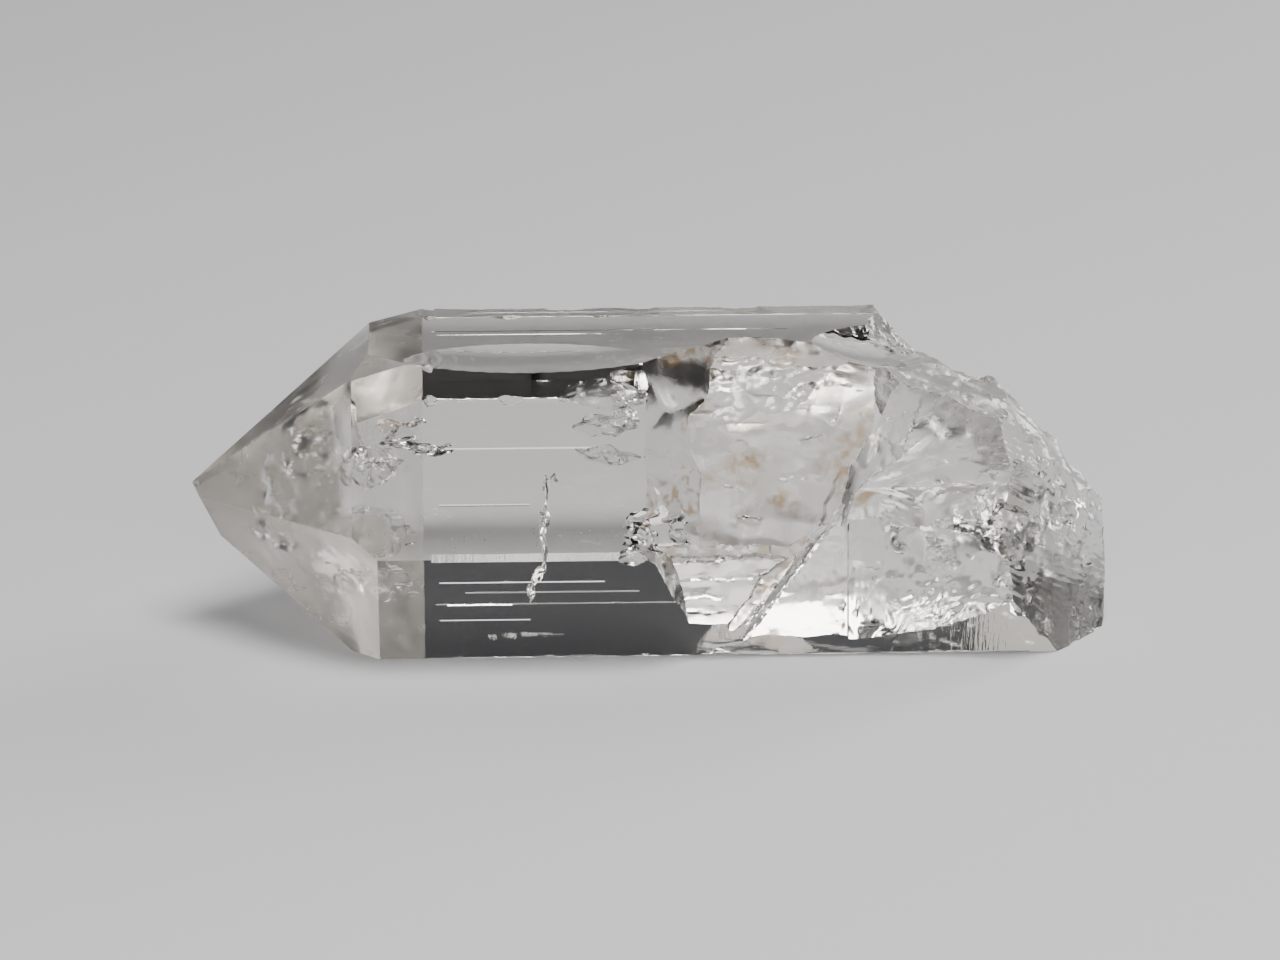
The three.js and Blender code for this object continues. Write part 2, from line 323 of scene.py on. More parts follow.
def beyond(name, at, out, height=None, along=ALONG, u_span=(-STOCK, STOCK), v_span=(-STOCK, STOCK),
           deep=STOCK, cell=None, kind=BROKEN):
    """What lies beyond a sheet through `at` that faces `out`: a block whose lower side is a grid
    of u and v raised by height(u, v), and whose top is flat. height also gives the masks."""
    cell_u, cell_v = (STOCK * 2, STOCK * 2) if cell is None else np.broadcast_to(cell, 2)
    cells_u = max(1, round((u_span[1] - u_span[0]) / cell_u))
    cells_v = max(1, round((v_span[1] - v_span[0]) / cell_v))
    u, v = np.meshgrid(
        np.linspace(*u_span, cells_u + 1), np.linspace(*v_span, cells_v + 1), indexing="ij"
    )
    masks = {}
    lift = np.zeros(u.shape)
    if height is not None:
        lift, masks = height(u, v)
    ways = basis(out, along)
    lower = np.stack([u, v, lift], -1).reshape(-1, 3)
    (u0, u1), (v0, v1) = u_span, v_span
    upper = np.array([[u0, v0, deep], [u1, v0, deep], [u1, v1, deep], [u0, v1, deep]])
    points = np.asarray(at) + np.vstack([lower, upper]) @ np.array(ways)
    index = np.arange(u.size).reshape(u.shape)
    quads = np.stack([index[:-1, :-1], index[:-1, 1:], index[1:, 1:], index[1:, :-1]], -1)
    faces = quads.reshape(-1, 4).tolist()
    t = u.size
    faces.append([t, t + 1, t + 2, t + 3])
    faces.append(index[:, 0].tolist() + [t + 1, t])
    faces.append(index[::-1, -1].tolist() + [t + 3, t + 2])
    faces.append(index[0, ::-1].tolist() + [t, t + 3])
    faces.append(index[-1, :].tolist() + [t + 2, t + 1])
    return new_object(name, points, faces, kind, masks)


def crack(name, at, out, half, bend, seed, along=ALONG, open_by=0.018, rings=9, spokes=34,
          frost=0.0, stain_and_shade=0.0):
    """A thin closed gap: two sheets over a ragged oval, open in the middle and meeting at the
    rim. Both follow the same cloudy swell, `bend` high. Frost on it is patchy and fades out
    towards the rim."""
    ring = np.linspace(0, 1, rings + 1)[1:]
    spoke = np.linspace(0, 2 * math.pi, spokes, endpoint=False)
    far, turn = np.meshgrid(ring, spoke, indexing="ij")
    ragged = 1 + 0.22 * clouds(3 * np.cos(turn), 3 * np.sin(turn), 1.6, seed, 4)
    u = np.concatenate([[0.0], (half[0] * far * np.cos(turn) * ragged).ravel()])
    v = np.concatenate([[0.0], (half[1] * far * np.sin(turn) * ragged).ravel()])
    swell = bend * clouds(u, v, 0.6 * max(half), seed + 3, 3)
    out_to = np.concatenate([[0.0], far.ravel()])
    gap = open_by * (1 - out_to**4)
    cloudy = frost * (1 - out_to**2) * patches(u, v, 0.5 * max(half), seed + 7, -0.7, 0.5)
    inner = len(u) - spokes
    upper = np.stack([u, v, swell + gap], -1)
    lower = np.stack([u, v, swell - gap], -1)[:inner]
    points = np.asarray(at) + np.vstack([upper, lower]) @ np.array(basis(out, along))
    top = np.arange(1, rings * spokes + 1).reshape(rings, spokes)
    low = top + len(u)
    low[-1] = top[-1]
    faces = []
    for grid, centre, turned in ((top, 0, False), (low, len(u), True)):
        after = np.roll(grid, -1, axis=1)
        fans = np.stack([np.full(spokes, centre), grid[0], after[0]], -1)
        quads = np.stack([grid[:-1], grid[1:], after[1:], after[:-1]], -1).reshape(-1, 4)
        for part in (fans, quads):
            faces += (part[:, ::-1] if turned else part).tolist()
    masks = {"frost": np.concatenate([cloudy, cloudy[:inner]]), "stain_and_shade": np.full(len(points), stain_and_shade)}
    return new_object(name, points, faces, BROKEN, masks)


def groove(x0, x1, at, out, wide, deep):
    """A long three-sided sliver along x, whose edge bites `deep` into a natural face."""
    _, v, n = basis(out, ALONG)
    middle = np.array([0.0, *at]) + np.array([[x0], [x1]]) * np.array(ALONG)
    corners = np.array([-0.5 * wide * v + deep * n, 0.5 * wide * v + deep * n, -deep * n])
    points = np.concatenate([middle[0] + corners, middle[1] + corners])
    faces = [[0, 1, 2], [3, 5, 4], [0, 3, 4, 1], [1, 4, 5, 2], [2, 5, 3, 0]]
    return new_object("groove", points, faces, NATURAL)


def bubbles(name, places, sizes):
    """Tiny eight-sided hollows, one at each place, each turned its own way round y."""
    corner = np.array([(1, 0, 0), (-1, 0, 0), (0, 1, 0), (0, -1, 0), (0, 0, 1), (0, 0, -1)], float)
    face = np.array([(0, 2, 4), (2, 1, 4), (1, 3, 4), (3, 0, 4), (2, 0, 5), (1, 2, 5), (3, 1, 5), (0, 3, 5)])
    count = len(places)
    turn = 40.0 * hashed(np.arange(count), 1.0, 3.0)
    c, s = np.cos(turn), np.sin(turn)
    shape = np.repeat((corner * (1.0, 0.8, 0.6))[None], count, 0) * sizes[:, None, None]
    x, y, z = shape[..., 0], shape[..., 1], shape[..., 2]
    c, s = c[:, None], s[:, None]
    turned = np.stack([c * x - s * z, y, s * x + c * z], -1)
    points = (places[:, None, :] + turned).reshape(-1, 3)
    faces = (face[None] + 6 * np.arange(count)[:, None, None]).reshape(-1, 3).tolist()
    return new_object(name, points, faces, POINT)


def combine(base, others, operation):
    """Cuts the others off the base, joins them to it, or keeps what they share, and deletes
    the others."""
    for other in others:
        step = base.modifiers.new(other.name, "BOOLEAN")
        step.solver = "MANIFOLD"
        step.operation = operation
        step.object = other
    graph = bpy.context.evaluated_depsgraph_get()
    mesh = bpy.data.meshes.new_from_object(base.evaluated_get(graph))
    base.modifiers.clear()
    old = base.data
    base.data = mesh
    bpy.data.meshes.remove(old)
    for other in others:
        data = other.data
        bpy.data.objects.remove(other)
        bpy.data.meshes.remove(data)
    return base


def cut(base, *others):
    """The base without the others."""
    return combine(base, others, "DIFFERENCE")


def joined(base, *others):
    """The base and the others in one."""
    return combine(base, others, "UNION")


def shared(base, *others):
    """What the base and all the others have in common."""
    return combine(base, others, "INTERSECT")


def on_front(x, up, depth):
    """A point on the upper front face: `up` from the front edge and `depth` under the face."""
    return np.array([x, 0.0, 0.0]) + FRONT_EDGE + up * FRONT_UP - depth * FRONT_OUT


def face_normal(turn, slope):
    """The way a face looks that is turned round the long axis and leans to the tip."""
    t, s = math.radians(turn), math.radians(slope)
    return (-math.sin(s), math.cos(s) * math.cos(t), math.cos(s) * math.sin(t))


# ---- The crystal with all its faces whole ----

def whole_crystal():
    """A block cut by the planes of the six long faces, the six faces of the point and the
    small facets."""
    corners = np.array([(x, y, z) for x in (-1, 1) for y in (-1, 1) for z in (-1, 1)], float)
    centre = np.array([LENGTH / 2, AXIS_Y, AXIS_Z])
    faces = [[0, 1, 3, 2], [4, 6, 7, 5], [0, 4, 5, 1], [2, 3, 7, 6], [0, 2, 6, 4], [1, 5, 7, 3]]
    block = new_object("quartz", centre + corners * STOCK / 2, faces, NATURAL)
    planes = []
    for turn, reach, shift in LONG_FACES:
        out = face_normal(turn, 0)
        at = (LENGTH / 2, AXIS_Y + reach * out[1], AXIS_Z + reach * out[2])
        planes.append(beyond("long_face", at, out, kind=NATURAL))
        tip = (TIP_X + shift, AXIS_Y, AXIS_Z)
        planes.append(beyond("point_face", tip, face_normal(turn, POINT_SLOPE), kind=POINT))
    for at, out in SMALL_FACETS:
        planes.append(beyond("facet", at, out, along=ACROSS, kind=POINT))
    return cut(block, *planes)


# ---- The hollow in the upper front face ----

# Short ledges on the hollow's floor: middle, length, turn and rise.
FLOOR_LIPS = (
    ((-1.45, 1.58), 2.6, 180, 0.10),
    ((-1.7, 0.82), 0.7, 188, 0.08),
    ((1.1, 0.9), 1.2, 190, 0.10),
    ((0.3, -0.6), 1.6, 4, 0.08),
    ((-2.3, -1.0), 1.7, 176, 0.08),
    ((-1.4, -2.2), 1.2, 180, 0.09),
    ((0.7, 2.1), 0.8, 178, 0.07),
    ((2.0, 1.9), 1.0, 70, 0.07),
    ((1.6, -0.3), 1.3, 62, 0.07),
)

# The same on its lower sheet.
LOWER_LIPS = (
    ((-3.1, 0.86), 3.4, 182, 0.12),
    ((-2.4, 0.05), 4.4, 183, 0.07),
    ((-3.3, -0.70), 2.6, 181, 0.06),
    ((-3.1, -1.25), 2.4, -4, 0.08),
    ((-0.8, 0.35), 1.3, 8, 0.05),
    ((-0.4, 1.7), 1.6, 3, 0.06),
)


def hollow():
    """The hollow: a floor and a slanting ledge above it, and a steeper sheet below."""

    def floor(u, v):
        """Low terraces and waves, with short ledges, flat shards and a crushed left band."""
        height = terraces(u, v, 0.55, 0.18, 0.12) + waves(u, v, 3.4, 0.02, 0.7)
        for at, length, turn, rise in FLOOR_LIPS:
            height += lip(u, v, at, length, turn, rise, 0.5)
        chipped = between(cloud(u, v, 1.3, 12.0), 0.3, 0.4)
        height += (0.2 + 0.8 * chipped) * 0.5 * shards(u, v, 0.5, 0.16, 4.0, 2.4, 8)
        band = beside(u, v, 2.7, 0.36, 0.9, 13.0) * between(-v, 0.2, 0.8)
        height += band * (shards(u, v, 0.2, 0.6, 15.0, 1.5, 50) - 0.1)
        grains = patches(u, v, 0.3, 6.0, -0.1, 0.4)
        # The stain here is a patchy rust tint over the whole floor, partly real and partly painted shade
        # that darkens it; the specks by the wall are real.
        stain_and_shade = 0.3 + patches(u, v, 1.5, 5.0, 0.0, 0.8) * (0.4 + 0.6 * grains)
        near_wall = between(-u, 3.2, 4.0) * patches(u, v, 0.25, 7.0, -0.1, 0.3)
        frost = 0.16 + 0.3 * patches(u, v, 0.9, 8.0, 0.0, 0.6) + 0.15 * chipped
        return height, {"frost": np.maximum(frost, 0.3 * band), "stain_and_shade": np.maximum(0.8 * stain_and_shade, near_wall)}

    def ledge(u, v):
        """A trough along u with wide flakes, which breaks off steeply below its brink."""
        curve = np.where(u < 0, 0.14, 0.028)
        height = curve * u * u + flaked(u, v, 2.0, 8.0, 0.03, 1.3)
        brink = -0.85 - 0.40 * np.maximum(0, u - 1.6) + 0.22 * clouds(u, u * 0, 0.9, 14.0)
        crushed = soft(brink - v, 0.0, 0.12)
        height += 0.22 * crushed * np.maximum(v - brink, -1.4)
        height += crushed * shards(u, v, 0.18, 0.45, 9.0, 1.5, 10)
        height += (1 - crushed) * 0.4 * shards(u, v, 1.1, 0.12, 10.0, 2.0, -10)
        # The stain is partly real rust and partly painted shade: it stays off the crushed band under the
        # brink and lies heavier around it and over the whole left end, so the band looks lighter.
        tan = 0.3 + 0.7 * patches(u, v, 1.0, 16.0, -0.3, 0.5)
        tan = between(-u, -0.1, 0.5) + (1 - crushed) * tan
        stain_and_shade = np.minimum(1, tan) * (0.5 + 0.5 * patches(u, v, 0.28, 17.0, -0.3, 0.5))
        frost = 0.28 - 0.12 * crushed * patches(u, v, 0.4, 18.0, -0.6, 0.5)
        return height, {"frost": frost, "stain_and_shade": 0.8 * stain_and_shade}

    def lower(u, v):
        """Terraces with short ledges, and crumbs in a level row and in a slanting band."""
        height = terraces(u, v, 0.8, -0.05, 0.1) + waves(u, v, 2.4, 0.01, 4.2)
        for at, length, turn, rise in LOWER_LIPS:
            height += lip(u, v, at, length, turn, rise, 0.4)
        bent = v + 0.12 * clouds(u, v, 1.1, 21.0)
        crumbs = between(0.28 - np.abs(bent - 1.2), 0, 0.08)
        band = beside(u, v, -0.3, 0.74, 0.9, 27.0)
        crumbs = np.maximum(crumbs, band)
        height += crumbs * (shards(u, v, 0.2, 0.6, 22.0) - 0.1)
        height += 0.4 * shards(u, v, 0.9, 0.12, 26.0, 2.5, 4)
        frost = 0.22 + 0.2 * patches(u, v, 0.8, 24.0, 0.1, 0.8) + 0.2 * crumbs
        stain_and_shade = 0.22 + 0.5 * crumbs * between(cloud(u, v, 0.4, 25.0), 0.1, 0.4)
        return height, {"frost": frost, "stain_and_shade": stain_and_shade}

    def wall(seed, splinters):
        """Flakes and drawn-out shards, with a crushed cluster `splinters` up the wall."""

        def height(u, v):
            rough = flaked(u, v, 2.6, 12.0, 0.02, seed) + 0.5 * shards(u, v, 0.5, 0.2, 30 + seed, 1.8)
            cluster = soft(0.75 - np.abs(u - splinters) + 0.2 * cloud(u, v, 0.5, 36.0), 0, 0.15)
            rough = rough + cluster * (1.3 * shards(u, v, 0.2, 0.9, 37.0) - 0.12)
            stain_and_shade = patches(u, v, 0.8, 33.0 + seed, 0.0, 0.4) * patches(u, v, 0.22, 34.0, -0.1, 0.2)
            frost = 0.22 + 0.25 * patches(u, v, 0.6, 35.0, 0, 0.6)
            return rough, {"stain_and_shade": stain_and_shade, "frost": frost * (1 - cluster)}

        return height

    def left_wall(left, up, lean, seed, splinters):
        """What lies right of a rough wall that starts at x = `left` and leans by `lean`."""
        turn = math.radians(lean)
        out = (math.cos(turn), math.sin(turn) * FRONT_OUT[1], math.sin(turn) * FRONT_OUT[2])
        return beyond("left_wall", on_front(left, up, 0), out, wall(seed, splinters), along=FRONT_UP,
                      u_span=(-18, 18), v_span=(-8, 8), deep=20, cell=COARSE)

    def left_of(right, lean):
        """What lies left of a plane that crosses the front edge at x = `right`."""
        turn = math.radians(lean)
        out = (-math.cos(turn), math.sin(turn) * FRONT_UP[1], math.sin(turn) * FRONT_UP[2])
        return beyond("right_end", on_front(right, 0, 0), out, along=ACROSS)

    upper = beyond("floor", on_front(23, 4, 1.5), FRONT_OUT, floor,
                   u_span=(-8, 8), v_span=(-6, 6), deep=12, cell=FINE)
    slope = math.radians(34)
    shelf = beyond("ledge", (20.4, 4.1, 11.64), (0, -math.sin(slope), math.cos(slope)), ledge,
                   u_span=(-6, 10), v_span=(-5, 5), deep=12, cell=FINE)
    upper = joined(upper, shelf)
    upper = shared(upper, left_wall(17.4, 4, 52, 2.1, -2.9), left_of(23.9, 30))
    below = beyond("lower", (23, -1, 3.4), (0, -1, 0.02), lower,
                   u_span=(-8, 4), v_span=(-5, 5), deep=8, cell=FINE)
    below = shared(below, left_wall(17.7, 0, 24, 3.4, 1.1), left_of(25, 0))
    return joined(upper, below)


# ---- The shell-shaped scoop to the right of the hollow ----

# Where the break began, and its folds: each crease's direction in degrees, and its slope.
SCOOP_START = (-2.2, -0.3)
SCOOP_FOLDS = (
    (-180, 0.0), (-75, 0.02), (-40, 0.06), (-12, 0.09), (0, 0.0), (13, 0.07),
    (22, 0.01), (34, 0.10), (44, 0.02), (57, 0.10), (68, 0.02), (80, 0.07), (180, 0.0),
)


def scoop_bowl():
    """A dish that is steeper above than to the sides, with flat folds, rings and fine ridges
    that fan out from the place where the break began."""

    def bowl(u, v):
        """Squares of u and v, plus rings, folds, hackles, shards and upright ticks."""
        sides = np.where(u > 0, 0.05, 0.02) * u * u
        ends = np.where(v > 0, 0.168, 0.03) * v * v
        far = np.hypot(u + 3.2, v + 0.6)
        ripple = 0.05 * np.sin(2 * math.pi * far / 1.6)
        rise, on_wall = wall_along(u, v, -2.5, 0.36, 0.4 + 1.4 * soft(v, -0.6, 1.2))
        height = sides + ends + rise + 0.4 * ripple
        height = height + on_wall * shards(u, v, 0.22, 0.7, 39.0, 1.5, 70)
        height += 0.8 * fan(u, v, SCOOP_START, SCOOP_FOLDS)
        height += hackles(u, v, SCOOP_START, 64, 0.035, 42.0, 2.0)
        below = between(-v, 0.9, 1.3)
        height += below * 0.6 * shards(u, v, 0.9, 0.14, 43.0, 2.0, 25)
        ticks = np.abs(np.sin(math.pi * u / 0.3 + 1.3 * cloud(u, v, 1.0, 44.0)))
        height += 0.018 * ticks * below * patches(u, v, 0.8, 40.0, -0.1, 0.3)
        crushed = soft(clouds(u, v, 1.2, 45.0), 0.45, 0.7) * between(u, -1.0, 0.5)
        height += crushed * shards(u, v, 0.24, 0.4, 46.0, 4.0, 28)
        silky = patches(u, v, 1.3, 47.0, -0.5, 0.6)
        frost = 0.16 + 0.25 * crushed + 0.16 * silky
        frost = np.maximum(frost, 0.35 * on_wall)
        line = np.abs(v + 0.75 - 0.32 * (u + 1.6) + 0.25 * cloud(u, v, 0.6, 48.0))
        rust = between(0.2 - line, 0, 0.08) * between(u, -2.5, -2.1) * between(-u, 0.2, 0.5)
        rust = rust * patches(u, v, 0.3, 49.0, -0.9, -0.1)
        return height, {"frost": frost, "stain_and_shade": rust}

    return beyond("bowl", on_front(28, 3.5, 2.6), FRONT_OUT, bowl,
                  u_span=(-6, 8.5), v_span=(-8, 6), deep=14, cell=FINE)


def scoop_lower():
    """The steep sheet under the bowl, with one upright step and feathered ridges."""
    feather_start = (-2.0, -2.4)

    def sheet(u, v):
        """A square of u to the right, less one step, plus waves, hackles and shards."""
        side = np.where(u > 0, 0.037 * u * u, 0.0)
        drop = 0.14 * between(u, -0.55, -0.47)
        rise, on_wall = wall_along(u, v, -4, 0.74, 0.7)
        height = side + rise - drop + waves(u, v, 2.2, 0.02, 2.9)
        height += on_wall * shards(u, v, 0.25, 0.7, 57.0, 1.5, 55)
        foot = between(-v, -0.4, 0.3) * between(-u, 0.5, 0.9) * between(cloud(u, v, 0.9, 53.0), -0.6, 0.0)
        height += foot * shards(u, v, 0.3, 0.3, 65.0, 2.5, 5)
        feather = soft(u, 0.3, 1.5)
        height += feather * hackles(u, v, feather_start, 60, 0.045, 51.0, 3.0)
        height += feather * hackles(u, v, feather_start, 120, 0.02, 55.0, 3.0)
        height += 0.6 * shards(u, v, 1.2, 0.16, 52.0, 3.0, 22) * between(u, 0.0, 1.0)
        streaks = patches(u, v, 1.6, 58.0, -0.2, 0.4) * between(u, 0.8, 1.6)
        height += streaks * shards(u, v, 0.2, 0.3, 59.0, 6.0, 24)
        crushed = soft(clouds(u, v, 1.0, 54.0), 0.2, 0.8)
        bright = soft(0.8 - np.abs(u - 0.3), 0, 0.4) * soft(1.4 - np.abs(v - 0.1), 0, 0.5)
        height += bright * shards(u, v, 0.25, 0.5, 56.0, 1.5, 80)
        frost = 0.14 + 0.2 * crushed + 0.25 * bright + 0.12 * foot
        return height, {"frost": np.maximum(frost, 0.35 * on_wall)}

    return beyond("scoop_lower", (26, -0.38, 2.5), (0, -0.993, 0.115), sheet,
                  u_span=(-7, 12), v_span=(-6, 6), deep=10, cell=FINE)


# ---- The broken root ----

# How deep the root's flakes are, out of 1.
WILD, TAME, TAMEST = 0.8, 0.3, 0.25


def root_break(at, out, seed, rough, bulge=0.0):
    """Large flakes, `rough` times their full depth, with small scales, fine ridges and
    crushed patches on them, which are shallower where the flakes are. The whole sheet falls
    back from its middle by `bulge` times the square of the distance."""
    fine = 0.25 + 0.75 * rough

    def sheet(u, v):
        """The flakes less the bulge, plus scales in patches, crushed shards and ridges."""
        height = rough * (flaked(u, v, 1.9, 3.6, 0.1, seed) - 0.2) - bulge * (u * u + v * v)
        patch = patches(u, v, 1.6, 60 + seed, -0.3, 0.4)
        height += fine * patch * shards(u, v, 0.7, 0.25, 61 + seed, 1.5, 30 * seed)
        crushed = soft(clouds(u, v, 1.1, 62 + seed), 0.2, 0.7)
        height += fine * crushed * shards(u, v, 0.28, 0.7, 63 + seed, 1.3, 50 * seed)
        height += 0.025 * np.abs(np.sin(6 * u + 9 * v + 2 * clouds(u, v, 1.2, 64 + seed)))
        stain_and_shade = patches(u, v, 1.2, 66 + seed, 0.5, 0.9) * patches(u, v, 0.3, 67 + seed, 0, 0.5)
        frost = 0.1 + 0.24 * rough + 0.2 * crushed - 0.14 * rough * patch
        return height, {"frost": frost, "stain_and_shade": 0.5 * stain_and_shade}

    return beyond("root", at, out, sheet, along=ACROSS,
                  u_span=(-8.8, 8.8), v_span=(-10.5, 10.5), deep=16, cell=MIDDLING)


def broken_root():
    """Over the top face a steep end drops to a shelf, and from the shelf a long slope runs
    down to the end. Both fall away to either side of a low crest, a corner is gone, and the
    end itself is rough."""
    shelf_crest, slope_crest = (29.3, 5, 10.45), (33.5, 5, 7.7)
    shelf = joined(
        root_break(shelf_crest, (0.36, -0.05, 0.93), 2.3, WILD),
        root_break(shelf_crest, (0.33, 0.38, 0.86), 3.1, WILD),
    )
    top = shared(shelf, root_break((27.7, 8.5, 10.8), (0.82, -0.08, 0.56), 1.1, WILD))
    return joined(
        top,
        root_break(slope_crest, (0.78, -0.05, 0.62), 5.2, WILD),
        root_break(slope_crest, (0.7, 0.36, 0.61), 6.4, WILD),
        root_break((35.1, 1.8, 0.3), (0.8, -0.58, 0.15), 7.9, TAME, 0.012),
        root_break((LENGTH - 0.1, 5.0, 3.0), (1, 0, 0), 8.6, TAMEST, 0.006),
    )


# ---- Chips ----

# Chips: middle, facing, half lengths and depth.
CHIPS = (
    ((13.1, 1.7, 11.74), (0, -0.07, 0.998), (4.7, 2.3), 0.34),
    ((27.2, 3.6, 11.74), (0.1, -0.12, 0.98), (3.6, 2.6), 0.9),
    ((14.9, 8.5, 11.74), (0, 0.5, 0.866), (0.8, 0.5), 0.1),
    ((17.6, 8.5, 11.74), (0.1, 0.5, 0.866), (0.55, 0.4), 0.08),
    ((21.8, 8.5, 11.74), (-0.1, 0.5, 0.866), (0.7, 0.5), 0.07),
    ((16.9, -2.9, 5.05), (0.2, -1, 0), (0.55, 0.55), 0.3),
    ((20.5, 0, 0), (0, -0.5, -0.866), (0.6, 0.6), 0.12),
    ((12.4, 11.95, 5.81), (0, 1, 0), (0.5, 0.35), 0.08),
)

# Nicks: how many along each long edge, between which x, the places round the tip, and the
# squares across half a nick.
NICKS_ON_EDGE = 7
NICKED = (8.5, 33.0)
TIP_NICKS = ((3.3, 6.1), (3.9, 5.6), (3.2, 5.4))
NICK_CELLS = 8


def chip(at, out, half, depth, cells=24):
    """A round shallow dish with faint rings from one side. A small one is crushed."""
    small = half[0] < 1

    def dish(u, v):
        """The squares of u and v over the half lengths, less 1, times the depth."""
        height = depth * ((u / half[0]) ** 2 + (v / half[1]) ** 2 - 1)
        if small:
            height += shards(u, v, 0.4 * half[0], 0.5, at[0])
        else:
            height += ribs(u, v, (-half[0], 0.2), 0.5, 0.008)
        return height, {"frost": np.full(u.shape, 0.15 if small else 0.0)}

    u_half, v_half = 1.2 * half[0], 1.2 * half[1]
    return beyond("chip", at, out, dish, u_span=(-u_half, u_half), v_span=(-v_half, v_half),
                  deep=4 * depth + 0.3 * half[0], cell=max(0.02, min(half) / cells))


def long_edges():
    """Where neighbouring long faces meet, as (y, z) and the way out between the two faces."""
    edges = []
    for (turn, reach, _), (next_turn, next_reach, _) in zip(LONG_FACES, LONG_FACES[1:] + LONG_FACES[:1]):
        ways = np.array([face_normal(turn, 0)[1:], face_normal(next_turn, 0)[1:]])
        place = np.linalg.solve(ways, [reach, next_reach]) + (AXIS_Y, AXIS_Z)
        edges.append((place, ways.sum(0) / np.linalg.norm(ways.sum(0))))
    return edges


def edge_nicks():
    """Small nicks strung at random along the long edges, and a few round the tip."""
    draw = np.random.default_rng(11)
    nicks = []
    for (y, z), out in long_edges():
        for x in np.sort(draw.uniform(*NICKED, NICKS_ON_EDGE)):
            size = 0.07 + 0.2 * draw.random() ** 3
            lean = 0.5 * draw.normal()
            half = (1.5 * size, size)
            nicks.append(chip((x, y, z), (lean, *out), half, 0.3 * size, NICK_CELLS))
    for y, z in TIP_NICKS:
        size = 0.16 + 0.1 * draw.random()
        out = (-1, y - AXIS_Y, z - AXIS_Z)
        nicks.append(chip((0.12, y, z), out, (size, size), 0.3 * size, NICK_CELLS))
    return nicks


# ---- Growth lines on the faces ----

# Thin lines along the long faces: x from and to, the place across, which way is out, and how
# wide and deep. Those on the back take light from low behind and show through the front.
GROWTH_LINES = (
    (9.4, 23.4, (5.3, 11.74), (0, 0, 1), 0.15, 0.03),
    (10.6, 17.3, (-1.93, 3.37), (0, -0.866, -0.5), 0.15, 0.03),
    (9.9, 12.4, (-1.57, 2.76), (0, -0.866, -0.5), 0.15, 0.03),
    (9.6, 16.2, (10.945, 4.06), (0, 0.866, -0.5), 0.24, 0.031),
    (9.6, 13.2, (9.8, 2.08), (0, 0.866, -0.5), 0.2, 0.026),
    (11.0, 21.0, (10.3, 8.66), (0, 0.866, 0.5), 0.15, 0.03),
)


def growth_lines():
    """A groove for each growth line."""
    return [groove(*each) for each in GROWTH_LINES]


# ---- Worn edges ----

# The worn part of each long edge, in the order of LONG_FACES: from x, to x and how wide its
# flat middle is. The second edge is the front one, which has a plane of its own.
WORN = (
    (8.8, 33.0, 0.03),
    None,
    (9.6, 26.0, 0.05),
    (9.6, 27.0, 0.08),
    (9.0, 33.0, 0.04),
    (9.0, 33.0, 0.03),
)
WORN_SOFTNESS = 0.05
FRONT_PLANE = (9.3, 17.6)
FRONT_PLANE_TILT = 6


def worn_edges():
    """Long edges that are worn round: a sheet across the edge, flat in the middle, whose slope
    runs softly into the slope of the two faces. The front edge has a narrow true plane."""
    face_slope = math.tan(math.radians(30))
    sheets = []
    for number, (worn, ((y, z), out)) in enumerate(zip(WORN, long_edges())):
        if worn is None:
            continue
        x0, x1, wide = worn
        reach = (x1 - x0) / 2
        half = wide / 2 + 2 * WORN_SOFTNESS

        def round_off(u, v, reach=reach, flat=wide / 2, number=number):
            """A hyperbola of the distance past the flat middle, plus wear, plus rising ends."""
            past = np.abs(v) - flat
            slope = -0.5 * face_slope * (past + np.hypot(past, WORN_SOFTNESS))
            wear = 0.006 * clouds(u, 4 * v, 0.5, 80.0 + number)
            end = 0.6 * np.maximum(0, np.abs(u) - reach + 0.4) ** 2
            return slope + wear + end, {"frost": np.full(u.shape, 0.06)}

        sunk = face_slope * wide / 2 - 0.07 * WORN_SOFTNESS
        at = np.array([x0 + reach, y, z]) - sunk * np.array([0, *out])
        sheets.append(beyond("worn_edge", at, (0, *out), round_off,
                             u_span=(-reach, reach), v_span=(-half, half), deep=0.5,
                             cell=(0.16, half / 4)))
    tilt = math.radians(FRONT_PLANE_TILT)
    out = (0, -math.cos(tilt), math.sin(tilt))
    sheets.append(beyond("front_plane", FRONT_EDGE + (0, 0.09, 0), out,
                         u_span=FRONT_PLANE, v_span=(-1, 1), deep=1, kind=NATURAL))
    return sheets


# ---- The crack down the front face ----

# Gaps end to end down the crack: middle, facing, half lengths and swell. The crack leans to
# the left on its way down.
CRACK_LEAN = (0.93, -0.32, 0.18)
CRACK_GAPS = (
    (on_front(13.7, 2.3, 0.2), CRACK_LEAN, (1.0, 0.45), 0.10),
    (on_front(13.6, 0.9, 0.2), CRACK_LEAN, (1.1, 0.45), 0.12),
    ((13.3, -2.3, 4.1), (0.86, -0.46, -0.2), (1.0, 0.42), 0.12),
    ((13.0, -1.8, 3.1), (0.9, -0.42, -0.1), (0.7, 0.4), 0.10),
)

# Splinters off along the crack: x, height up the face, size and lean.
CRACK_FLAKES = (
    (13.8, 3.05, 0.85, 20),
    (13.7, 1.75, 0.5, 150),
    (13.65, 1.15, 0.6, 70),
)


def crack_flake(x, up, size, lean):
    """A splinter with three corners over the face and its deepest corner under it."""
    c, s = size * math.cos(math.radians(lean)), size * math.sin(math.radians(lean))
    shape = ((-0.5, 0, -0.2), (0.5, 0.35, -0.2), (0.5, -0.35, -0.2), (0.3, 0.05, 0.4))
    corners = [
        on_front(x + a * c - b * s, up + a * s + b * c, depth * size) for a, b, depth in shape
    ]
    faces = [[1, 2, 0], [3, 1, 0], [3, 2, 1], [3, 0, 2]]
    masks = {"frost": np.full(len(shape), 0.5)}
    return new_object("flake", np.array(corners), faces, BROKEN, masks)


def front_crack():
    """Thin gaps that cut the front faces along a jagged line, with flakes off along it."""
    gaps = [crack("crack", *each, FRONT_SEED + number, along=FRONT_UP)
            for number, each in enumerate(CRACK_GAPS)]
    return gaps + [crack_flake(*each) for each in CRACK_FLAKES]


# ---- Flaws inside ----

